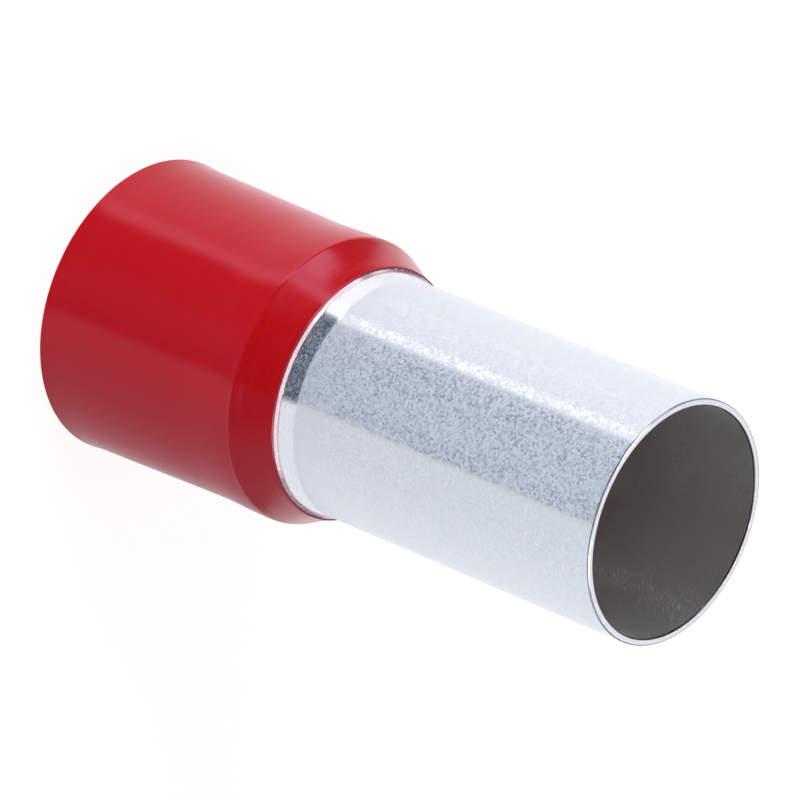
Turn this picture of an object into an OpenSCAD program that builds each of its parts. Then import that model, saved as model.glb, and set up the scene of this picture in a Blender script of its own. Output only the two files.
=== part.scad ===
// Insulated wire ferrule for a stranded conductor of 95 square millimetres.
// A thin tinned copper sleeve is flared at one end and held there in a moulded collar.
// The axis is Z: the collar's rear rim stands on Z = 0 and the sleeve's mouth points up.

/* [Sleeve] */
// Clear bore of the drawn tube, which the bare strands fill
tube_bore = 14.6; // [12:0.1:18]
// Thickness of the drawn tube and of its flare
tube_wall = 0.45; // [0.3:0.05:0.6]
// Length of bare sleeve, from the collar's lip to the mouth
pin_length = 25.3; // [15:0.1:40]
// Rounding of both edges of the mouth, left by deburring
mouth_rounding = 0.14; // [0.02:0.01:0.14]

/* [Flare] */
// Slope of the flare against the axis, in degrees
flare_angle = 9; // [6:0.5:16]
// Radius of the bend between tube and flare, on its hollow side
flare_bend = 1.2; // [0.5:0.1:3]
// Length of flare that shows in front of the collar's lip
flare_shown = 1.3; // [0.8:0.1:2]
// Length of flare that the collar covers
flare_covered = 3.2; // [2:0.1:4.5]
// Step at the lip, by which the covered flare stands out from the flare that shows
step_rise = 0.12; // [0.04:0.01:0.15]
// Slope of that step against the axis, in degrees
step_angle = 37; // [30:1:60]
// Distance from the collar's lip up to the foot of the step
step_gap = 0.01; // [0:0.01:0.2]

/* [Skirt of the collar] */
// Length of the moulded collar, from its rear rim to its lip
collar_length = 18.7; // [12:0.1:30]
// Thickness of the skirt
skirt_wall = 0.51; // [0.3:0.01:0.8]
// Draft of the skirt against the axis, in degrees
skirt_draft = 1.35; // [0.2:0.05:2]
// Rounding of the rear rim's two edges
rim_rounding = 0.14; // [0.02:0.01:0.15]
// How far the skirt's outside is belled out at the rear rim
bell_rise = 0.06; // [0:0.01:0.2]
// Length of the bell
bell_length = 1.6; // [0.5:0.1:3]

/* [Nose of the collar] */
// Length of the conical nose, from the shoulder to the lip
nose_length = 2.65; // [1.8:0.05:4]
// How far the shoulder swells over the end of the flare
shoulder_rise = 0.19; // [0:0.01:0.3]
// Length of the swelling along the skirt
shoulder_run = 4.7; // [2:0.1:6]
// Radius of the edge between shoulder and nose
shoulder_edge = 0.6; // [0.1:0.05:0.9]
// How far the nose sinks in between shoulder and lip
nose_hollow = 0.07; // [0:0.01:0.12]
// Thickness of the lip that closes on the sleeve, rounded over all of it
lip_wall = 0.08; // [0.05:0.01:0.2]
// Gap between the flare and its seat in the collar
seat_clearance = 0.01; // [0:0.005:0.05]
// Length of the ramp inside that leads the strands from the skirt into the sleeve
entry_ramp = 0.9; // [0.5:0.1:2]

/* [Hidden] */
// Facets round the axis
$fn = 180;
// Steps of each rounded edge, and of each gradual change in an outline
ROUND_STEPS = 4;
BLEND_STEPS = 8;

// Heights from the rear rim: mouth, start and end of the flare, shoulder, and the flare's step
mouth_z = collar_length + pin_length;
flare_start_z = collar_length + flare_shown;
flare_end_z = collar_length - flare_covered;
shoulder_z = collar_length - nose_length;
step_foot_z = collar_length + step_gap;
step_top_z = step_foot_z + step_rise / (tan(step_angle) - tan(flare_angle));

// The tube's outer radius, and the flare's outer edge at its end
tube_r = tube_bore / 2 + tube_wall;
flare_edge = [covered_r(flare_end_z), flare_end_z];
// Unit steps across the flare's wall, outwards, and along it towards its end
flare_out = [cos(flare_angle), sin(flare_angle)];
flare_along = [sin(flare_angle), -cos(flare_angle)];

// Outer radius of the flare at a height, where it shows and where the collar covers it.
function flare_r(z) = tube_r + (flare_start_z - z) * tan(flare_angle);
function covered_r(z) = flare_r(z) + step_rise;

// Radius of the flare's seat in the collar at a height.
function seat_r(z) = covered_r(z) + seat_clearance / cos(flare_angle);

// Inner radius of the skirt at a height: it opens towards the rear by the draft.
function skirt_bore_r(z) = seat_r(flare_end_z) + (shoulder_z - z) * tan(skirt_draft);

// Outer radius of the skirt at a height: drafted wall, belled rim and swelling shoulder.
function skirt_r(z) = skirt_bore_r(z) + skirt_wall
    + bell_rise * pow(max(0, 1 - z / bell_length), 2)
    + shoulder_rise * ease(max(0, 1 - (shoulder_z - z) / shoulder_run));

// A gradual rise from 0 to 1 as t goes from 0 to 1.
function ease(t) = (1 - cos(180 * t)) / 2;

// Points of an arc about a centre, from one angle to another.
function arc(centre, radius, from, to) =
    [for (i = [0 : ROUND_STEPS]) let (a = from + (to - from) * i / ROUND_STEPS)
        centre + radius * [cos(a), sin(a)]];

// Points of the skirt's outside, from one height up to just short of another.
function skirt_points(from, to) =
    [for (i = [0 : BLEND_STEPS - 1]) let (z = from + (to - from) * i / BLEND_STEPS)
        [skirt_r(z), z]];

// Drawn copper tube, tinned, with a rounded mouth and a flared end that is stepped at the lip.
module contact_sleeve() {
    bend_centre = [tube_r + flare_bend, flare_start_z + flare_bend * tan(flare_angle / 2)];
    mouth_edge_z = mouth_z - mouth_rounding;
    step = [[flare_r(step_top_z), step_top_z], [covered_r(step_foot_z), step_foot_z]];
    // From each corner of the step to its corner on the inside, half way between the two slopes
    half_way = (step_angle + flare_angle) / 2;
    inwards = tube_wall / cos((step_angle - flare_angle) / 2) * [cos(half_way), sin(half_way)];
    color("gainsboro") rotate_extrude() polygon(concat(
        arc([tube_r - mouth_rounding, mouth_edge_z], mouth_rounding, 90, 0),
        arc(bend_centre, flare_bend, 180, 180 + flare_angle),
        step, [flare_edge, flare_edge - tube_wall * flare_out],
        [step[1] - inwards, step[0] - inwards],
        arc(bend_centre, flare_bend + tube_wall, 180 + flare_angle, 180),
        arc([tube_bore / 2 + mouth_rounding, mouth_edge_z], mouth_rounding, 180, 90)));
}

// Moulded collar: drafted skirt, swelling shoulder, and a hollow nose round the flare's seat.
module insulating_collar() {
    shoulder_r = skirt_r(shoulder_z);
    lip_r = seat_r(collar_length) + lip_wall;
    nose_fall = shoulder_r - lip_r;
    // The nose is a shallow parabola, with these slopes at the shoulder and at the lip.
    shoulder_angle = atan((nose_fall + 4 * nose_hollow) / nose_length);
    lip_angle = atan((nose_fall - 4 * nose_hollow) / nose_length);
    edge_z = shoulder_z - shoulder_edge * tan(shoulder_angle / 2);
    lip_rounding = lip_wall / tan((90 - lip_angle) / 2);
    seat_end = flare_edge + seat_clearance * flare_along;
    ramp_top = seat_end - tube_wall * flare_out;
    ramp_foot_z = ramp_top[1] - entry_ramp;
    color("firebrick") rotate_extrude() polygon(concat(
        arc([skirt_r(0) - rim_rounding, rim_rounding], rim_rounding, -90, 0),
        skirt_points(rim_rounding + bell_length / BLEND_STEPS, bell_length),
        skirt_points(shoulder_z - shoulder_run, edge_z),
        arc([shoulder_r - shoulder_edge, edge_z], shoulder_edge, 0, shoulder_angle),
        [for (i = [2 : BLEND_STEPS - 2]) let (t = i / BLEND_STEPS)
            [shoulder_r - t * nose_fall - 4 * t * (1 - t) * nose_hollow, shoulder_z + t * nose_length]],
        arc([lip_r - lip_wall, collar_length - lip_rounding], lip_rounding, lip_angle, 90),
        [seat_end + seat_clearance * flare_out, ramp_top, [skirt_bore_r(ramp_foot_z), ramp_foot_z]],
        arc([skirt_bore_r(0) + rim_rounding, rim_rounding], rim_rounding, 180, 270)));
}

contact_sleeve();
insulating_collar();
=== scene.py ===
"""The insulated wire ferrule, dressed for its studio view.

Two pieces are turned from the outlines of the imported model: a tinned copper sleeve, flared at
one end, and the moulded red collar that holds its flare. Sizes are in metres unless a name or
comment says otherwise. The axis is Z: the collar's rear rim stands on z = 0 and the sleeve's
mouth points up.
"""

import logging
import math
from dataclasses import dataclass, field
from enum import Enum
from typing import Any, Mapping, Sequence

import bmesh
import bpy
from mathutils import Matrix, Vector


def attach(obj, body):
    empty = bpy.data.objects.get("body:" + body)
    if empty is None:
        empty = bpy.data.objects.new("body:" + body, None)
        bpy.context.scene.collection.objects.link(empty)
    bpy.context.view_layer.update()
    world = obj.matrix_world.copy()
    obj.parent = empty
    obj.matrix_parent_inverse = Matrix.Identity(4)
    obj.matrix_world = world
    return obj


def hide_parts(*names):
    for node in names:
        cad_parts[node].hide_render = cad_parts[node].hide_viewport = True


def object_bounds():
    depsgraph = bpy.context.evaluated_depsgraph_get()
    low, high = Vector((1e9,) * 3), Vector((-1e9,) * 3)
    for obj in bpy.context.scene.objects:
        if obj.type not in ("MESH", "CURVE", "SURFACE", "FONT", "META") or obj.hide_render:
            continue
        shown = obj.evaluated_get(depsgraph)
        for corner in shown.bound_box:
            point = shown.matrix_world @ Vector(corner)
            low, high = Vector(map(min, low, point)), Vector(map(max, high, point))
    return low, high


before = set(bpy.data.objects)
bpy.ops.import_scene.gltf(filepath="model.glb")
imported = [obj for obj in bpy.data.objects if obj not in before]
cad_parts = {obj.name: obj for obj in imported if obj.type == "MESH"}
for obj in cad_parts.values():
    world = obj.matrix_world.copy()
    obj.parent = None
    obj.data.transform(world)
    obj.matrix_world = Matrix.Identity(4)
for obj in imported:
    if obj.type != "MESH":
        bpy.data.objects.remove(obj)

CAD_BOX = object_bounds()
BODY = "root"
LOG = logging.getLogger("wire_ferrule")

Point = tuple[float, float]
Rgb = tuple[float, float, float]
Colour = tuple[float, float, float, float]
# What can go into a node's socket.
Feed = bpy.types.Node | bpy.types.NodeSocket | float

WHITE: Colour = (1.0, 1.0, 1.0, 1.0)
# Points of the CAD mesh nearer than the first are one, and nearer than the second to a plane
# are on it.
SAME_POINT = 1e-7
ON_PLANE = 1e-8


def mm(length: float) -> float:
    """Turn millimetres into metres."""
    return length / 1000.0


def linear(hex_code: str, strength: float = 1.0) -> Colour:
    """Turn an sRGB hex colour into a linear one.

    Args:
        hex_code: the colour as "#RRGGBB".
        strength: a factor on its three channels.

    Returns:
        Red, green, blue and an alpha of 1.
    """
    channels = [int(hex_code[i : i + 2], 16) / 255.0 for i in (1, 3, 5)]
    red, green, blue = (
        c / 12.92 if c <= 0.04045 else ((c + 0.055) / 1.055) ** 2.4 for c in channels
    )
    return (red * strength, green * strength, blue * strength, 1.0)


def direction(azimuth: float, elevation: float) -> Vector:
    """Give the unit vector at an azimuth from +X towards +Y and an elevation, in degrees."""
    a, e = math.radians(azimuth), math.radians(elevation)
    return Vector((math.cos(a) * math.cos(e), math.sin(a) * math.cos(e), math.sin(e)))


# ---------------------------------------------------------------- nodes


def feed(tree: bpy.types.NodeTree, node: bpy.types.Node, inputs: Mapping[Any, Any]) -> None:
    """Set or link the inputs of a node.

    Args:
        tree: the node's tree.
        node: the node.
        inputs: what goes into its sockets, by name or number. A socket is linked, a node
            stands for its first output in use, and anything else becomes the socket's value.
    """
    for name, value in inputs.items():
        if isinstance(value, bpy.types.Node):
            value = next(socket for socket in value.outputs if not socket.is_unavailable)
        if isinstance(value, bpy.types.NodeSocket):
            tree.links.new(value, node.inputs[name])
        else:
            node.inputs[name].default_value = value


def add_node(
    tree: bpy.types.NodeTree,
    kind: str,
    settings: Mapping[str, Any] | None = None,
    inputs: Mapping[Any, Any] | None = None,
) -> bpy.types.Node:
    """Add a node with its settings and what goes into it.

    Args:
        tree: the tree that gets the node.
        kind: the node's type name.
        settings: the node's own properties, by name.
        inputs: what goes into its sockets, as for feed().

    Returns:
        The new node.
    """
    node = tree.nodes.new(kind)
    for name, value in (settings or {}).items():
        setattr(node, name, value)
    feed(tree, node, inputs or {})
    return node


def radius_and_height(
    tree: bpy.types.NodeTree, position: bpy.types.NodeSocket
) -> tuple[bpy.types.Node, bpy.types.NodeSocket]:
    """Split a place into its distance from the axis and its height.

    Args:
        tree: the tree that does it.
        position: the socket that holds the place.

    Returns:
        What gives the radius, and what gives the height.
    """
    flat = add_node(
        tree,
        "ShaderNodeVectorMath",
        {"operation": "MULTIPLY"},
        {0: position, 1: (1.0, 1.0, 0.0)},
    )
    radius = add_node(tree, "ShaderNodeVectorMath", {"operation": "LENGTH"}, {0: flat})
    split = add_node(tree, "ShaderNodeSeparateXYZ", {}, {0: position})
    return radius, split.outputs["Z"]


def azimuth_of(tree: bpy.types.NodeTree, position: bpy.types.NodeSocket) -> bpy.types.Node:
    """Work out a place's azimuth, in radians from +X towards +Y.

    Args:
        tree: the tree that does it.
        position: the socket that holds the place, or a direction.

    Returns:
        The node that gives it.
    """
    split = add_node(tree, "ShaderNodeSeparateXYZ", {}, {0: position})
    return add_node(
        tree,
        "ShaderNodeMath",
        {"operation": "ARCTAN2"},
        {0: split.outputs["Y"], 1: split.outputs["X"]},
    )


def turn_between(tree: bpy.types.NodeTree, azimuth: Feed, middle: float) -> bpy.types.Node:
    """Work out how far an azimuth is from another one, whichever way round.

    Args:
        tree: the tree that does it.
        azimuth: what gives the azimuth, in radians.
        middle: the other one, in degrees.

    Returns:
        The node that gives the turn between them, in radians.
    """
    turn: Feed = azimuth
    for operation, values in (
        ("SUBTRACT", {1: math.radians(middle)}),
        ("WRAP", {1: math.pi, 2: -math.pi}),
        ("ABSOLUTE", {}),
    ):
        turn = add_node(tree, "ShaderNodeMath", {"operation": operation}, {0: turn, **values})
    return turn


@dataclass(frozen=True)
class Border:
    """A soft border, across which a number passes smoothly from one value to another.

    Attributes:
        start: where the change starts.
        end: where it ends, on either side of the start.
        before: the number at the start and before it.
        after: the number at the end and beyond it.
    """

    start: float
    end: float
    before: float = 0.0
    after: float = 1.0

    def across(self, tree: bpy.types.NodeTree, value: Feed, edge: float = 0.0) -> bpy.types.Node:
        """Follow a value across the border.

        Args:
            tree: the tree that does it.
            value: what gives the value.
            edge: the place that the border's start and end are counted from.

        Returns:
            The node that gives the number.
        """
        # The node needs its range to rise, so a falling one is turned round.
        (low, from_low), (high, from_high) = sorted(
            [(self.start + edge, self.before), (self.end + edge, self.after)]
        )
        return add_node(
            tree,
            "ShaderNodeMapRange",
            {"interpolation_type": "SMOOTHSTEP"},
            {
                "Value": value,
                "From Min": low,
                "From Max": high,
                "To Min": from_low,
                "To Max": from_high,
            },
        )


@dataclass(frozen=True)
class Grain:
    """A random pattern, sized as the real one is.

    Attributes:
        size: distance between neighbouring spots.
        detail: how many finer layers it has.
        stretch: how many times longer the spots are along X, Y and Z.
        seed: picks one pattern out of many.
    """

    size: float
    detail: float = 1.0
    stretch: tuple[float, float, float] = (1.0, 1.0, 1.0)
    seed: float = 0.0

    def add(self, tree: bpy.types.NodeTree, position: bpy.types.NodeSocket) -> bpy.types.Node:
        """Add the pattern to a material.

        Args:
            tree: the material's tree.
            position: the socket that holds the place on the object.

        Returns:
            The node that gives a value around 0.5, which varies from spot to spot.
        """
        squeeze = Vector([1.0 / (s * self.size) for s in self.stretch])
        placed = add_node(
            tree,
            "ShaderNodeMapping",
            {},
            {"Vector": position, "Scale": squeeze, "Location": Vector((self.seed,) * 3)},
        )
        return add_node(
            tree,
            "ShaderNodeTexNoise",
            {"noise_dimensions": "3D"},
            {"Vector": placed, "Scale": 1.0, "Detail": self.detail, "Roughness": 0.6},
        )


# ---------------------------------------------------------------- finishes


@dataclass(frozen=True)
class Finish:
    """What every finish has in common.

    Attributes:
        name: the material's name, which says what the real one is.
    """

    name: str

    def start(self) -> tuple[bpy.types.Material, bpy.types.NodeTree, bpy.types.NodeSocket]:
        """Make the material with one Principled shader.

        Returns:
            The material, its tree, and the socket that holds the place on the object.
        """
        material = bpy.data.materials.new(self.name)
        material.use_nodes = True
        tree = material.node_tree
        return material, tree, add_node(tree, "ShaderNodeTexCoord").outputs["Object"]


@dataclass(frozen=True)
class TinnedCopper(Finish):
    """Copper tube with a thin coat of electroplated tin.

    Tin gives a cool white metal. The plating grows as fine crystals, some level and
    mirror-like, some frosted, so the tube glitters faintly wherever it reflects something
    dark. The flare was pressed over a polished punch, which levelled the crystals. The real
    crystals are finer than these, which are drawn as coarse as they need to be to show.

    Attributes:
        metal: colour of a level crystal.
        frosted: colour of a frosted one.
        level_roughness: roughness of a level crystal.
        frosted_roughness: roughness of a frosted one.
        crystal: the single crystals.
        patch: slow changes of the plating from place to place.
        cell: width of a cluster of crystals.
        contrast: how far one cluster differs from the next.
        drift: how far one patch differs from the next.
        frosting: where the sum of these patterns turns a crystal from level to frosted.
        pressed: how much more level the flare is, across the bend.
        growth: how fully the clusters are grown, along the tube from the bend.
        relief: height of a cluster over its neighbours.
        relief_strength: how much of that the gloss shows.
        painted_lip_reflection: painted reflection of the red lip, a pink tint on the flare's step.
        step: where that painted reflection starts, outside the tube's skin.
        sheared: colour of the mouth's cut face, which is smooth.
        rim: where the smooth mouth starts, below its top.
        outer_edge_shade: painted shade on the mouth's outer edge, a thin grey line.
        outer_border: where that painted shade starts, inside the tube's skin.
        inner_edge_shade: painted shade on the mouth's inner edge, a thin dark line.
        inner_border: where that painted shade starts, outside the bore.
        dull: colour of the bore, which the plating hardly reaches.
        bore_roughness: roughness of the bore.
        bore_border: where the bore's skin starts.
        straight: length of tube below the mouth that is surely straight.
        flush: how near to the tube's skin a point of the outline counts as on it.
    """

    name: str = "electroplated_tin_on_drawn_copper"
    metal: str = "#EAEDF1"
    frosted: str = "#E7EBF0"
    level_roughness: float = 0.12
    frosted_roughness: float = 0.9
    crystal: Grain = Grain(mm(0.02), 1.0, seed=11.0)
    patch: Grain = Grain(mm(1.1), 2.0, seed=23.0)
    cell: float = mm(0.14)
    contrast: float = 0.27
    drift: float = 0.08
    frosting: Border = Border(0.46, 0.5)
    pressed: Border = Border(mm(-0.12), mm(0.06), 0.19, 0.0)
    growth: Border = Border(mm(0.4), mm(4.0), 0.6, 1.0)
    relief: float = mm(0.04)
    relief_strength: float = 0.5
    painted_lip_reflection: str = "#FFD8DE"
    step: Border = Border(mm(0.15), mm(0.18))
    sheared: str = "#D6D8DE"
    rim: Border = Border(mm(-0.15), mm(-0.12))
    outer_edge_shade: str = "#9EA3AE"
    outer_border: Border = Border(mm(-0.09), mm(-0.06))
    inner_edge_shade: str = "#3A3A3E"
    inner_border: Border = Border(mm(0.09), mm(0.06))
    dull: str = "#DADAD9"
    bore_roughness: float = 0.35
    bore_border: Border = Border(mm(0.003), mm(0.001))
    straight: float = mm(1.0)
    flush: float = mm(0.001)

    def make(self, outline: Sequence[Point]) -> bpy.types.Material:
        """Make the material.

        Args:
            outline: the sleeve's outline, which says where its bore, bend and mouth are.

        Returns:
            The finished material.
        """
        bore = min(radius for radius, _ in outline)
        mouth = max(height for _, height in outline)
        tube = max(radius for radius, height in outline if height > mouth - self.straight)
        bend = min(height for radius, height in outline if abs(radius - tube) < self.flush)
        material, tree, position = self.start()
        radius, height = radius_and_height(tree, position)
        cells = add_node(
            tree,
            "ShaderNodeTexVoronoi",
            {"voronoi_dimensions": "3D", "feature": "F1"},
            {"Vector": position, "Scale": 1.0 / self.cell},
        ).outputs["Color"]
        pressed = self.pressed.across(tree, height, bend)
        growth = self.growth.across(tree, height, bend)
        share = self.frosted_share(tree, position, cells, pressed, growth)
        rim = self.rim.across(tree, height, mouth)
        inside = self.bore_border.across(tree, radius, bore)
        share = add_node(tree, "ShaderNodeMix", {}, {"Factor": rim, "A": share, "B": 0.0})
        roughness: Feed = self.level_roughness
        for factor, value in ((share, self.frosted_roughness), (inside, self.bore_roughness)):
            roughness = add_node(
                tree, "ShaderNodeMix", {}, {"Factor": factor, "A": roughness, "B": value}
            )
        # The mouth's cut face, with painted shade: a thin grey line at its outer edge and a thin
        # dark one at its inner edge.
        cut: Any = linear(self.sheared)
        for border, edge, tone in (
            (self.outer_border, tube, self.outer_edge_shade),
            (self.inner_border, bore, self.inner_edge_shade),
        ):
            cut = add_node(
                tree,
                "ShaderNodeMix",
                {"data_type": "RGBA"},
                {"Factor": border.across(tree, radius, edge), "A": cut, "B": linear(tone)},
            )
        colour: Any = linear(self.metal)
        for factor, tone, mode in (
            (share, linear(self.frosted), "MIX"),
            # Painted reflection: the flare's step is tinted pink, as the red lip mirrored in it.
            (self.step.across(tree, radius, tube), linear(self.painted_lip_reflection), "MULTIPLY"),
            (rim, cut, "MIX"),
            (inside, linear(self.dull), "MIX"),
        ):
            colour = add_node(
                tree,
                "ShaderNodeMix",
                {"data_type": "RGBA", "blend_type": mode},
                {"Factor": factor, "A": colour, "B": tone},
            )
        bump = add_node(
            tree,
            "ShaderNodeBump",
            {},
            {"Strength": self.relief_strength, "Distance": self.relief, "Height": cells},
        )
        shader = tree.nodes["Principled BSDF"]
        feed(tree, shader, {"Base Color": colour, "Roughness": roughness, "Normal": bump})
        feed(tree, shader, {"Metallic": 1.0})
        return material

    def frosted_share(
        self,
        tree: bpy.types.NodeTree,
        position: bpy.types.NodeSocket,
        cells: bpy.types.NodeSocket,
        pressed: bpy.types.Node,
        growth: bpy.types.Node,
    ) -> bpy.types.Node:
        """Add up the plating's patterns and part its crystals into level and frosted ones.

        Args:
            tree: the material's tree.
            position: the socket that holds the place on the object.
            cells: the socket that holds the clusters' random values.
            pressed: what gives how far the place was pressed level.
            growth: what gives how fully the clusters are grown there.

        Returns:
            The node that gives 1 on frosted crystals and 0 on level ones.
        """
        cluster = add_node(
            tree,
            "ShaderNodeMath",
            {"operation": "MULTIPLY_ADD"},
            {0: cells, 1: self.contrast, 2: -self.contrast / 2.0},
        )
        spots = add_node(
            tree,
            "ShaderNodeMath",
            {"operation": "MULTIPLY_ADD"},
            {0: cluster, 1: growth, 2: self.crystal.add(tree, position)},
        )
        spots = add_node(
            tree,
            "ShaderNodeMath",
            {"operation": "MULTIPLY_ADD"},
            {0: self.patch.add(tree, position), 1: self.drift, 2: spots},
        )
        spots = add_node(tree, "ShaderNodeMath", {"operation": "SUBTRACT"}, {0: spots, 1: pressed})
        return self.frosting.across(tree, spots)


@dataclass(frozen=True)
class MouldedPolypropylene(Finish):
    """Polypropylene, coloured through and injection moulded in a polished cavity.

    It is glossy, with the faint waviness of a shrunk skin and soft flow marks round the axis.
    The lip's thin edge is painted darker red: painted shade where it closes on the flare.

    Attributes:
        body: colour of the plastic.
        edge: painted shade on the lip's edge, a darker red.
        lip_shade_border: where that painted shade starts, below the lip's top.
        gloss_tint: tint of what the skin mirrors.
        refraction: index of refraction, a little over the polymer's own for its pigment.
        flow: the flow marks, longer round the axis than along it.
        skin: roughness of the skin from one flow mark to the next.
        waviness: the waves of the shrunk skin.
        relief: height of those waves.
        relief_strength: how much of that the gloss shows.
    """

    name: str = "injection_moulded_red_polypropylene"
    body: str = "#C30A10"
    edge: str = "#7A0A20"
    lip_shade_border: Border = Border(mm(-0.05), mm(-0.025))
    gloss_tint: str = "#F3D8FF"
    refraction: float = 1.56
    flow: Grain = Grain(mm(0.35), 2.0, (6.0, 6.0, 1.0), seed=7.0)
    skin: Border = Border(0.3, 0.7, 0.14, 0.21)
    waviness: Grain = Grain(mm(0.9), 1.0)
    relief: float = mm(0.01)
    relief_strength: float = 0.3

    def make(self, outline: Sequence[Point]) -> bpy.types.Material:
        """Make the material.

        Args:
            outline: the collar's outline, which says where its lip is.

        Returns:
            The finished material.
        """
        top = max(height for _, height in outline)
        material, tree, position = self.start()
        _, height = radius_and_height(tree, position)
        # Painted shade: the lip's top turns darker red where it closes on the flare.
        lip = self.lip_shade_border.across(tree, height, top)
        colour = add_node(
            tree,
            "ShaderNodeMix",
            {"data_type": "RGBA"},
            {"Factor": lip, "A": linear(self.body), "B": linear(self.edge)},
        )
        roughness = self.skin.across(tree, self.flow.add(tree, position))
        waves = self.waviness.add(tree, position)
        bump = add_node(
            tree,
            "ShaderNodeBump",
            {},
            {"Strength": self.relief_strength, "Distance": self.relief, "Height": waves},
        )
        shader = tree.nodes["Principled BSDF"]
        feed(tree, shader, {"Base Color": colour, "Roughness": roughness, "Normal": bump})
        feed(tree, shader, {"IOR": self.refraction, "Specular Tint": linear(self.gloss_tint)})
        return material


# ---------------------------------------------------------------- the two pieces


def outline_of(node: str) -> list[Point]:
    """Read the outline that a turned CAD node has in the half plane x > 0, y = 0.

    Args:
        node: the node's name.

    Returns:
        The closed outline's corners as (radius, height), clockwise.
    """
    cut = bmesh.new()
    cut.from_mesh(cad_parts[node].data)
    bmesh.ops.remove_doubles(cut, verts=cut.verts, dist=SAME_POINT)
    bmesh.ops.bisect_plane(
        cut,
        geom=[*cut.verts, *cut.edges, *cut.faces],
        dist=ON_PLANE,
        plane_co=(0.0, 0.0, 0.0),
        plane_no=(0.0, 1.0, 0.0),
        clear_inner=True,
        clear_outer=True,
    )
    here = min((v for v in cut.verts if v.co.x > 0.0), key=lambda v: (v.co.z, v.co.x))
    corners = [here]
    before = None
    while True:
        after = next(v for e in here.link_edges if (v := e.other_vert(here)) is not before)
        if after is corners[0]:
            break
        corners.append(after)
        before, here = here, after
    points = [(v.co.x, v.co.z) for v in corners]
    cut.free()
    area = sum(a[0] * b[1] - b[0] * a[1] for a, b in zip(points, points[1:] + points[:1]))
    return points if area < 0.0 else points[::-1]


def finer(points: Sequence[Point], longest: float, hold: float) -> list[Point]:
    """Add points to a closed outline, so that it bends and shades well once it is turned.

    Args:
        points: the outline's corners.
        longest: the longest step that a straight stretch may have.
        hold: distance from each corner at which a stretch gets one more point, if it is over
            four times as long.

    Returns:
        The outline with its new points.
    """
    result: list[Point] = []
    for a, b in zip(points, [*points[1:], points[0]]):
        length = math.dist(a, b)
        shares = [0.0]
        if length > 4.0 * hold:
            steps = math.ceil((length - 2.0 * hold) / longest)
            step = (length - 2.0 * hold) / steps
            shares += [(hold + step * i) / length for i in range(steps + 1)]
        result += [(a[0] + (b[0] - a[0]) * s, a[1] + (b[1] - a[1]) * s) for s in shares]
    return result


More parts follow.
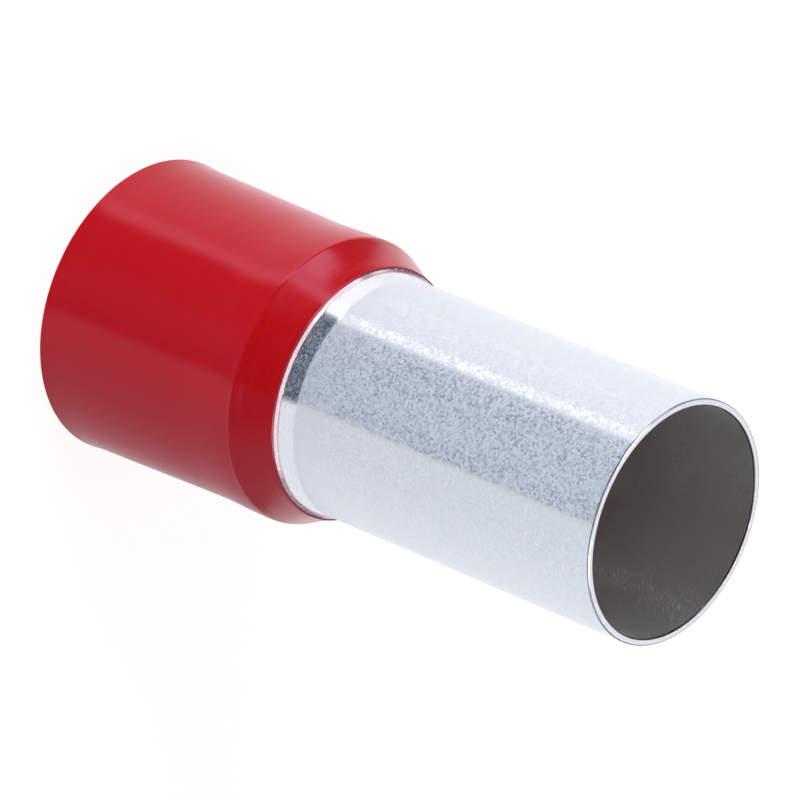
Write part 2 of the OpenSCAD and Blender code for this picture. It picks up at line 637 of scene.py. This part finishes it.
@dataclass
class TurnedPiece:
    """A closed wall turned round the axis by a Geometry Nodes tree.

    Attributes:
        name: the finished piece's name.
        node: the CAD node that it stands for.
        slot: the record's material slot, which is not used.
        finish: its finish.
        segments: steps round the axis.
        guide: radius of the circle that carries the outline round.
        longest: longest step along the outline.
        hold: distance of the extra point beside each corner.
        ripple: depth of the faint waves on its skin.
        ripple_length: distance between those waves.
        seed: picks the waves.
    """

    name: str
    node: str
    slot: str
    finish: Finish
    segments: int = 360
    guide: float = mm(5.0)
    longest: float = mm(0.45)
    hold: float = mm(0.03)
    ripple: float = mm(0.004)
    ripple_length: float = mm(2.5)
    seed: float = 1.0

    def outline(self) -> list[Point]:
        """Give the outline to turn, kept inside the CAD model's box.

        Returns:
            The closed outline as (radius, height), clockwise.
        """
        reach = min(-CAD_BOX[0].x, CAD_BOX[1].x, -CAD_BOX[0].y, CAD_BOX[1].y)
        points = finer(outline_of(self.node), self.longest, self.hold)
        return [(min(radius, reach), height) for radius, height in points]

    def inputs(self) -> dict[str, tuple[str, Any]]:
        """Name the tree's inputs, with each one's socket type and value."""
        return {
            "Segments": ("NodeSocketInt", self.segments),
            "Guide Radius": ("NodeSocketFloat", self.guide),
            "Ripple Depth": ("NodeSocketFloat", self.ripple),
            "Ripple Length": ("NodeSocketFloat", self.ripple_length),
            "Seed": ("NodeSocketFloat", self.seed),
        }

    def turning_tree(self, material: bpy.types.Material) -> bpy.types.NodeTree:
        """Build the tree that turns the outline round the axis.

        Args:
            material: what the wall is made of.

        Returns:
            The tree.
        """
        tree = bpy.data.node_groups.new(f"turn_{self.name}", "GeometryNodeTree")
        tree.interface.new_socket("Outline", in_out="INPUT", socket_type="NodeSocketGeometry")
        for name, (kind, _) in self.inputs().items():
            tree.interface.new_socket(name, in_out="INPUT", socket_type=kind)
        tree.interface.new_socket("Piece", in_out="OUTPUT", socket_type="NodeSocketGeometry")
        given = add_node(tree, "NodeGroupInput")
        radius = given.outputs["Guide Radius"]
        profile = add_node(tree, "GeometryNodeMeshToCurve", {}, {"Mesh": given.outputs["Outline"]})
        back = add_node(tree, "ShaderNodeMath", {"operation": "MULTIPLY"}, {0: radius, 1: -1.0})
        offset = add_node(tree, "ShaderNodeCombineXYZ", {}, {"X": back})
        centred = add_node(
            tree, "GeometryNodeSetPosition", {}, {"Geometry": profile, "Offset": offset}
        )
        guide = add_node(
            tree,
            "GeometryNodeCurvePrimitiveCircle",
            {"mode": "RADIUS"},
            {"Resolution": given.outputs["Segments"], "Radius": radius},
        )
        turned = add_node(
            tree, "GeometryNodeCurveToMesh", {}, {"Curve": guide, "Profile Curve": centred}
        )
        rippled = self.rippled(tree, turned, given)
        smooth = add_node(tree, "GeometryNodeSetShadeSmooth", {}, {"Geometry": rippled})
        real = add_node(tree, "GeometryNodeRealizeInstances", {}, {"Geometry": smooth})
        made = add_node(
            tree, "GeometryNodeSetMaterial", {}, {"Geometry": real, "Material": material}
        )
        add_node(tree, "NodeGroupOutput", {}, {"Piece": made})
        return tree

    @staticmethod
    def rippled(
        tree: bpy.types.NodeTree, wall: bpy.types.Node, given: bpy.types.Node
    ) -> bpy.types.Node:
        """Sink a wall's skin by faint waves, always into the wall.

        Args:
            tree: the tree that makes the piece.
            wall: the node that gives the wall.
            given: the node that holds the tree's inputs.

        Returns:
            The node that gives the wall with its waves.
        """
        scale = add_node(
            tree,
            "ShaderNodeMath",
            {"operation": "DIVIDE"},
            {0: 1.0, 1: given.outputs["Ripple Length"]},
        )
        waves = add_node(
            tree,
            "ShaderNodeTexNoise",
            {"noise_dimensions": "4D"},
            {
                "Vector": add_node(tree, "GeometryNodeInputPosition"),
                "W": given.outputs["Seed"],
                "Scale": scale,
                "Detail": 1.0,
            },
        )
        depth = add_node(
            tree,
            "ShaderNodeMath",
            {"operation": "MULTIPLY"},
            {0: waves, 1: given.outputs["Ripple Depth"]},
        )
        sunk = add_node(tree, "ShaderNodeMath", {"operation": "MULTIPLY"}, {0: depth, 1: -1.0})
        inwards = add_node(
            tree,
            "ShaderNodeVectorMath",
            {"operation": "SCALE"},
            {0: add_node(tree, "GeometryNodeInputNormal"), "Scale": sunk},
        )
        return add_node(
            tree, "GeometryNodeSetPosition", {}, {"Geometry": wall, "Offset": inwards}
        )

    def build(self) -> bpy.types.Object:
        """Make the piece as a plain mesh and tie it to the frame.

        Returns:
            The finished piece.
        """
        points = self.outline()
        mesh = bpy.data.meshes.new(self.name)
        edges = [(i, (i + 1) % len(points)) for i in range(len(points))]
        # Curve to Mesh lays a profile's Y downwards along a circle's axis, and takes the side
        # to the left of its way as the outside.
        mesh.from_pydata([(radius, -height, 0.0) for radius, height in points], edges, [])
        piece = bpy.data.objects.new(self.name, mesh)
        bpy.context.scene.collection.objects.link(piece)
        modifier = piece.modifiers.new("Turn", "NODES")
        tree = self.turning_tree(self.finish.make(points))
        modifier.node_group = tree
        sockets = {item.name: item.identifier for item in tree.interface.items_tree}
        for name, (_, value) in self.inputs().items():
            modifier[sockets[name]] = value
        piece.data = self.evaluated(piece)
        piece.modifiers.clear()
        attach(piece, BODY)
        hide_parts(self.node)
        return piece

    def evaluated(self, piece: bpy.types.Object) -> bpy.types.Mesh:
        """Turn the piece's modifier into a plain mesh.

        Args:
            piece: the object with its modifier.

        Returns:
            The new mesh.
        """
        graph = bpy.context.evaluated_depsgraph_get()
        mesh = bpy.data.meshes.new_from_object(piece.evaluated_get(graph), depsgraph=graph)
        mesh.name = self.name
        return mesh


@dataclass
class ContactSleeve(TurnedPiece):
    """The tube that takes the strands, with its flare, its step and its deburred mouth."""

    name: str = "tinned_sleeve"
    node: str = "contact_sleeve"
    slot: str = "tinned_copper"
    finish: Finish = field(default_factory=TinnedCopper)
    ripple: float = mm(0.002)
    seed: float = 3.0


@dataclass
class InsulatingCollar(TurnedPiece):
    """The moulded skirt with its shoulder, nose and lip."""

    name: str = "moulded_collar"
    node: str = "insulating_collar"
    slot: str = "red_plastic"
    finish: Finish = field(default_factory=MouldedPolypropylene)
    ripple: float = mm(0.006)
    seed: float = 8.0


# ---------------------------------------------------------------- the studio


@dataclass(frozen=True)
class Card:
    """A card or screen of the studio that only shows in reflections.

    Attributes:
        azimuth: the middle of its width, in degrees from +X towards +Y.
        half_width: half of its width, in degrees.
        lowest: elevation of its lower edge, in degrees.
        highest: elevation of its upper edge, in degrees.
        side_blur: how softly its sides end, in degrees.
        blur: how softly its upper and lower edges end, in degrees.
        light: its colour, with 1 for white.
    """

    azimuth: float
    half_width: float
    lowest: float
    highest: float
    side_blur: float
    blur: float
    light: Rgb

    def share(
        self, tree: bpy.types.NodeTree, azimuth: bpy.types.Node, elevation: bpy.types.Node
    ) -> bpy.types.Node:
        """Work out how much of a direction the card fills.

        Args:
            tree: the world's tree.
            azimuth: what gives the direction's azimuth, in radians.
            elevation: what gives its elevation, in radians.

        Returns:
            The node that gives 1 on the card, 0 off it, and between them on its soft edges.
        """
        aside = turn_between(tree, azimuth, self.azimuth)
        side, soft = math.radians(self.half_width), math.radians(self.side_blur)
        low, high, blur = (math.radians(x) for x in (self.lowest, self.highest, self.blur))
        across = Border(side - soft, side + soft, 1.0, 0.0).across(tree, aside)
        above = Border(low - blur, low + blur).across(tree, elevation)
        below = Border(high - blur, high + blur, 1.0, 0.0).across(tree, elevation)
        tall = add_node(tree, "ShaderNodeMath", {"operation": "MULTIPLY"}, {0: above, 1: below})
        return add_node(tree, "ShaderNodeMath", {"operation": "MULTIPLY"}, {0: across, 1: tall})


class StudioCard(Enum):
    """The cards round the object, each laid over the ones before it."""

    TABLE = Card(90.0, 200.0, -100.0, -16.0, 1.0, 3.0, (1.05, 1.05, 1.05))
    FAR_TABLE = Card(0.0, 62.0, -100.0, -16.0, 16.0, 3.0, (0.93, 0.94, 0.96))
    KEY_TABLE = Card(-172.0, 22.0, -100.0, -16.0, 8.0, 3.0, (1.18, 1.18, 1.18))
    CEILING = Card(90.0, 200.0, 15.0, 100.0, 1.0, 3.0, (1.15, 1.15, 1.15))
    FAR_SIDE = Card(0.0, 32.0, -16.0, 12.0, 20.0, 4.0, (0.5, 0.51, 0.54))
    KEY_SIDE = Card(135.0, 30.0, 4.0, 30.0, 6.0, 3.0, (1.15, 1.15, 1.15))
    CAMERA_SIDE = Card(-101.5, 39.5, -50.0, 24.0, 3.5, 3.0, (0.015, 0.02, 0.03))
    CAMERA_EDGE = Card(-101.5, 39.5, -50.0, -12.0, 3.5, 2.0, (0.05, 0.075, 0.11))
    CAMERA_TABLE = Card(-101.5, 39.5, -50.0, -26.5, 3.5, 2.5, (0.1, 0.17, 0.28))
    CAMERA_GLOW = Card(-86.0, 14.0, -50.0, -26.5, 12.0, 2.5, (0.19, 0.3, 0.46))
    KEY_STRIP = Card(-150.0, 5.0, -60.0, 25.0, 3.0, 5.0, (2.0, 2.02, 2.05))
    KEY_BOX = Card(-169.0, 13.0, -3.0, 17.0, 5.0, 3.0, (2.5, 2.45, 2.75))
    TABLE_EDGE = Card(-100.0, 34.0, -15.5, -9.5, 6.0, 1.5, (0.3, 0.32, 0.36))


@dataclass(frozen=True)
class Softbox:
    """A soft lamp, which the camera never sees.

    Attributes:
        name: the lamp's name.
        azimuth: where it stands, in degrees from +X towards +Y.
        elevation: how high it stands, in degrees.
        distance: its distance from the object.
        width: the side of its square face.
        share: the light that it brings to a surface facing it, with 1 for white.
        gloss: whether it lights gloss alone, and no matt surface.
    """

    name: str
    azimuth: float
    elevation: float
    distance: float
    width: float
    share: float
    gloss: bool = False

    def place(self, target: Vector) -> None:
        """Set the lamp up so that it faces the object.

        Args:
            target: the point it faces.
        """
        lamp = bpy.data.lights.new(self.name, "AREA")
        lamp.size = self.width
        # A face of small size gives power / (pi * distance**2), and white needs pi of that.
        lamp.energy = self.share * (math.pi * self.distance) ** 2
        lit = bpy.data.objects.new(self.name, lamp)
        bpy.context.scene.collection.objects.link(lit)
        away = direction(self.azimuth, self.elevation)
        lit.location = target + away * self.distance
        lit.rotation_mode = "QUATERNION"
        lit.rotation_quaternion = away.to_track_quat("Z", "Y")
        lit.visible_glossy = self.gloss
        lit.visible_diffuse = not self.gloss
        lit.visible_camera = False


@dataclass
class Studio:
    """A pale floor, soft lamps, the screens that the gloss shows, and the camera.

    Attributes:
        floor_width: side of the square floor.
        floor_white: the floor's own colour.
        floor_glow: the light that comes up through it, with 1 for white.
        seen_white: share of the floor's own colour that the camera sees, shadow and all.
        seen_lift: how far that is lifted, so that the floor stays white.
        ambient: even light from all round, with 1 for white.
        lamps: the soft lamps.
        plug_radius: radius of the dark disc on the floor inside the collar.
        plug_height: its height over the floor.
        plug_sides: how many sides it has.
        plug_colour: its colour, dark as painted shade.
        plug_roughness: its roughness.
        plug_light: the colour of its painted glow, which stands in for light through the skirt.
        plug_glow: how strong that painted glow is.
        film_radius: radius of the film of painted shadow round the object's foot, which only
            reflections show.
        film_height: its height over the floor, which it lies a little under.
        film_sides: how many sides it has.
        film_azimuth: the middle of the side on which the film is dark, in degrees.
        film_side: turns from there between which its darkness ends, in degrees.
        film_clear: how much light its dark side lets through.
        film_rim: share of its radius at which its darkness starts to end.
        film_green: how much green it lets through, with 1 for as much as red and blue.
        horizon: the colour between the screens.
        lens: the camera's focal length, in millimetres.
        aim: the point that the camera looks at.
        distance: the camera's distance from there.
        azimuth: where the camera stands, in degrees from +X towards +Y.
        elevation: how high it stands, in degrees.
        roll: how far it is turned about its line of sight, in degrees.
    """

    floor_width: float = 3.0
    floor_white: str = "#F4F4F4"
    floor_glow: float = 0.3
    seen_white: float = 0.35
    seen_lift: float = 0.86
    ambient: float = 0.4
    lamps: tuple[Softbox, ...] = (
        Softbox("key", -138.0, 9.0, 1.0, 0.5, 0.56),
        Softbox("key_sparkle", -150.0, 47.0, 1.0, 0.5, 0.6, True),
        Softbox("far_sparkle", -15.0, 50.0, 1.0, 0.5, 0.6, True),
    )
    plug_radius: float = mm(8.8)
    plug_height: float = mm(0.02)
    plug_sides: int = 64
    plug_colour: str = "#2A2624"
    plug_roughness: float = 0.9
    plug_light: str = "#FFE6D6"
    plug_glow: float = 0.09
    film_radius: float = mm(33.0)
    film_height: float = mm(-0.05)
    film_sides: int = 96
    film_azimuth: float = -50.0
    film_side: tuple[float, float] = (95.0, 155.0)
    film_clear: float = 0.6
    film_rim: float = 0.78
    film_green: float = 0.94
    horizon: Rgb = (0.14, 0.13, 0.18)
    lens: float = 350.0
    aim: Vector = field(default_factory=lambda: Vector((-0.00052, -0.00011, 0.02152)))
    distance: float = 0.4758
    azimuth: float = -90.08
    elevation: float = 37.5
    roll: float = 112.42

    def build(self) -> None:
        """Set up everything that isn't the object."""
        self.lay_floor()
        self.light_world()
        for lamp in self.lamps:
            lamp.place(self.aim)
        self.set_camera()

    @staticmethod
    def lay(name: str, sheet: bmesh.types.BMesh, paper: bpy.types.Material) -> bpy.types.Object:
        """Lay a flat sheet and mark it as part of the stage.

        Args:
            name: its name.
            sheet: its shape, which is used up.
            paper: what it is made of.

        Returns:
            The sheet.
        """
        mesh = bpy.data.meshes.new(name)
        sheet.to_mesh(mesh)
        sheet.free()
        mesh.materials.append(paper)
        laid = bpy.data.objects.new(name, mesh)
        bpy.context.scene.collection.objects.link(laid)
        return laid

    @staticmethod
    def disc(radius: float, height: float, segments: int) -> bmesh.types.BMesh:
        """Cut a round sheet.

        Args:
            radius: its radius.
            height: its height over the floor.
            segments: how many sides it has.

        Returns:
            Its shape.
        """
        sheet = bmesh.new()
        bmesh.ops.create_circle(sheet, cap_ends=True, segments=segments, radius=radius)
        bmesh.ops.translate(sheet, vec=(0.0, 0.0, height), verts=sheet.verts)
        return sheet

    def lay_floor(self) -> None:
        """Lay the pale floor, the disc of painted shade and glow inside the collar, and the film
        of painted shadow round its foot.
        """
        square = bmesh.new()
        bmesh.ops.create_grid(square, x_segments=1, y_segments=1, size=self.floor_width / 2.0)
        floor = self.lay("floor", square, self.white_paper())
        floor.visible_glossy = False
        # Painted shade and glow: a dark, faintly glowing disc on the floor inside the collar.
        plug = self.disc(self.plug_radius, self.plug_height, self.plug_sides)
        self.lay("floor_shade", plug, self.shade_and_glow_disc())
        # Painted shadow: a film that only reflections show, darkening the table beside the collar
        # as its shadow would.
        round_sheet = self.disc(self.film_radius, self.film_height, self.film_sides)
        film = self.lay("painted_shadow_film", round_sheet, self.painted_shadow_film())
        film.visible_camera = False
        film.visible_diffuse = False
        film.visible_shadow = False

    def white_paper(self) -> bpy.types.Material:
        """Make white paper that the camera sees a little lifted, so that it stays white.

        Returns:
            The floor's material.
        """
        material = bpy.data.materials.new("white_paper")
        material.use_nodes = True
        tree = material.node_tree
        tree.nodes.clear()
        kinds = []
        for white, glow in ((1.0, self.floor_glow), (self.seen_white, self.seen_lift)):
            colour = linear(self.floor_white, white)
            paper = add_node(tree, "ShaderNodeBsdfDiffuse", {}, {"Color": colour})
            light = add_node(tree, "ShaderNodeEmission", {}, {"Color": WHITE, "Strength": glow})
            kinds.append(add_node(tree, "ShaderNodeAddShader", {}, {0: paper, 1: light}))
        seen = add_node(tree, "ShaderNodeLightPath").outputs["Is Camera Ray"]
        both = add_node(tree, "ShaderNodeMixShader", {}, {0: seen, 1: kinds[0], 2: kinds[1]})
        add_node(tree, "ShaderNodeOutputMaterial", {}, {"Surface": both})
        return material

    def shade_and_glow_disc(self) -> bpy.types.Material:
        """Make the disc of painted shade inside the collar, where no light gets under the rim,
        with a faint painted glow.

        Returns:
            The disc's material.
        """
        material = bpy.data.materials.new("shade_and_glow_disc")
        material.use_nodes = True
        tree = material.node_tree
        feed(
            tree,
            tree.nodes["Principled BSDF"],
            {
                "Base Color": linear(self.plug_colour),
                "Roughness": self.plug_roughness,
                "Emission Color": linear(self.plug_light),
                "Emission Strength": self.plug_glow,
            },
        )
        return material

    def painted_shadow_film(self) -> bpy.types.Material:
        """Make the film of painted shadow, which dims what the collar's gloss shows of the table
        near it.

        Returns:
            The film's material.
        """
        material = bpy.data.materials.new("painted_shadow_film")
        material.use_nodes = True
        tree = material.node_tree
        tree.nodes.clear()
        position = add_node(tree, "ShaderNodeTexCoord").outputs["Object"]
        aside = turn_between(tree, azimuth_of(tree, position), self.film_azimuth)
        start, end = (math.radians(turn) for turn in self.film_side)
        side = Border(start, end, self.film_clear, 1.0).across(tree, aside)
        radius, _ = radius_and_height(tree, position)
        rim = Border(self.film_radius * self.film_rim, self.film_radius).across(tree, radius)
        clear = add_node(tree, "ShaderNodeMath", {"operation": "MAXIMUM"}, {0: side, 1: rim})
        green = add_node(
            tree, "ShaderNodeMath", {"operation": "MULTIPLY"}, {0: clear, 1: self.film_green}
        )
        colour = add_node(
            tree, "ShaderNodeCombineColor", {}, {"Red": clear, "Green": green, "Blue": clear}
        )
        film = add_node(tree, "ShaderNodeBsdfTransparent", {}, {"Color": colour})
        add_node(tree, "ShaderNodeOutputMaterial", {}, {"Surface": film})
        return material

    def light_world(self) -> None:
        """Light the scene evenly, and show the screens to reflections alone."""
        world = bpy.data.worlds.new("studio")
        bpy.context.scene.world = world
        world.use_nodes = True
        world.cycles.sampling_method = "NONE"
        tree = world.node_tree
        tree.nodes.clear()
        way = add_node(tree, "ShaderNodeTexCoord").outputs["Generated"]
        _, height = radius_and_height(tree, way)
        azimuth = azimuth_of(tree, way)
        elevation = add_node(tree, "ShaderNodeMath", {"operation": "ARCSINE"}, {0: height})
        shown: Any = (*self.horizon, 1.0)
        for card in StudioCard:
            share = card.value.share(tree, azimuth, elevation)
            shown = add_node(
                tree,
                "ShaderNodeMix",
                {"data_type": "RGBA"},
                {"Factor": share, "A": shown, "B": (*card.value.light, 1.0)},
            )
        ambient, screens, white = (
            add_node(tree, "ShaderNodeBackground", {}, {"Color": colour, "Strength": strength})
            for colour, strength in ((WHITE, self.ambient), (shown, 1.0), (WHITE, 1.0))
        )
        path = add_node(tree, "ShaderNodeLightPath")
        lit: Any = ambient
        for ray, light in (("Is Glossy Ray", screens), ("Is Camera Ray", white)):
            lit = add_node(
                tree, "ShaderNodeMixShader", {}, {0: path.outputs[ray], 1: lit, 2: light}
            )
        add_node(tree, "ShaderNodeOutputWorld", {}, {"Surface": lit})

    def set_camera(self) -> None:
        """Stand the camera at its distance and turn it about its line of sight."""
        lens = bpy.data.cameras.new("camera")
        lens.lens = self.lens
        camera = bpy.data.objects.new("camera", lens)
        bpy.context.scene.collection.objects.link(camera)
        away = direction(self.azimuth, self.elevation)
        upright = away.to_track_quat("Z", "Y").to_matrix()
        turned = upright @ Matrix.Rotation(math.radians(self.roll), 3, "Z")
        camera.rotation_mode = "QUATERNION"
        camera.rotation_quaternion = turned.to_quaternion()
        camera.location = self.aim + away * self.distance
        bpy.context.scene.camera = camera
        bpy.context.scene.view_settings.view_transform = "Standard"


def main() -> None:
    """Build the object and its studio, and report each piece."""
    logging.basicConfig(level=logging.INFO, format="%(message)s")
    for part in (ContactSleeve(), InsulatingCollar()):
        piece = part.build()
        LOG.info("%s: %d faces, finish %s", piece.name, len(piece.data.polygons), part.finish.name)
    studio = Studio()
    studio.build()
    LOG.info("studio: %d lamps, %d screens", len(studio.lamps), len(StudioCard))
    bpy.context.view_layer.update()


if __name__ == "__main__":
    main()
